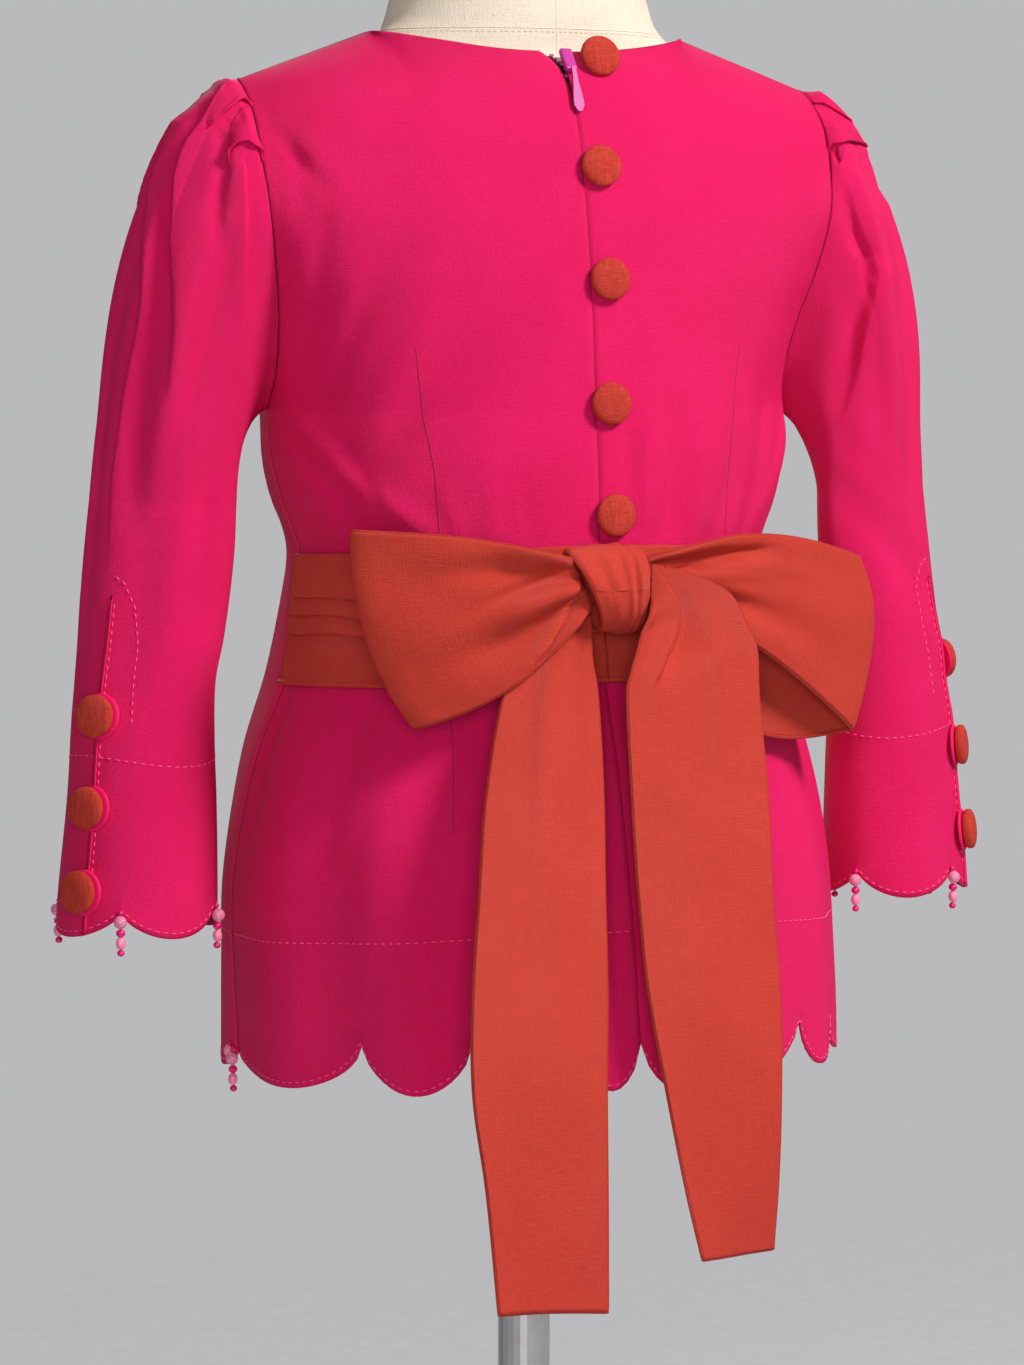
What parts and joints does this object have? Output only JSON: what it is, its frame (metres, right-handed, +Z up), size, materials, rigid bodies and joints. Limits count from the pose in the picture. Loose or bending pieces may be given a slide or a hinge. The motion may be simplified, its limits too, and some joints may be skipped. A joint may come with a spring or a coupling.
{
  "type": "bow blouse on a limbless dress form",
  "caption": "Long-sleeved child's blouse with a zipped, buttoned back, scalloped edges and a sash tied in a bow, on a limbless dress form.",
  "frame": {"origin": "centre of the base's underside, on the floor", "axes": "+Z up, the wearer's front faces -Y, the wearer's left is +X"},
  "size_m": [0.4666, 0.319, 0.841],
  "materials": {
    "pink_cloth": "hot pink woven cloth, slightly bright",
    "rust_satin": "rust red twill with a soft sheen",
    "button_cloth": "rust red twill stretched over a button",
    "zip_plastic": "glossy magenta",
    "form_linen": "natural linen cover",
    "base_wood": "satin varnish",
    "pole_steel": "brushed"
  },
  "bodies": {
    "blouse_on_stand": {"front": "pink_cloth", "back_left": "pink_cloth", "back_right": "pink_cloth", "sleeve_left": "pink_cloth", "sleeve_right": "pink_cloth", "sash_left": "rust_satin", "sash_right": "rust_satin", "bow_knot": "rust_satin", "bow_loop_left": "rust_satin", "bow_loop_right": "rust_satin", "tail_left": "rust_satin", "tail_right": "rust_satin", "back_button_1": "button_cloth", "back_button_2": "button_cloth", "back_button_3": "button_cloth", "back_button_4": "button_cloth", "back_button_5": "button_cloth", "cuff_button_left_1": "button_cloth", "cuff_button_left_2": "button_cloth", "cuff_button_left_3": "button_cloth", "cuff_button_right_1": "button_cloth", "cuff_button_right_2": "button_cloth", "cuff_button_right_3": "button_cloth", "cuff_tab_left_1": "pink_cloth", "cuff_tab_left_2": "pink_cloth", "cuff_tab_left_3": "pink_cloth", "cuff_tab_right_1": "pink_cloth", "cuff_tab_right_2": "pink_cloth", "cuff_tab_right_3": "pink_cloth", "zip_slider": "zip_plastic", "dress_form": "form_linen", "pole": "pole_steel", "base": "base_wood"},
    "zip_pull": {"zip_pull": "zip_plastic"}
  },
  "joints": [
    {"name": "pull_hinge", "type": "hinge", "parent": "blouse_on_stand", "child": "zip_pull", "pos_m": [-0.0012, 0.05739, 0.77481], "axis": [1, 0, 0], "range_deg": [0, 120]}
  ]
}
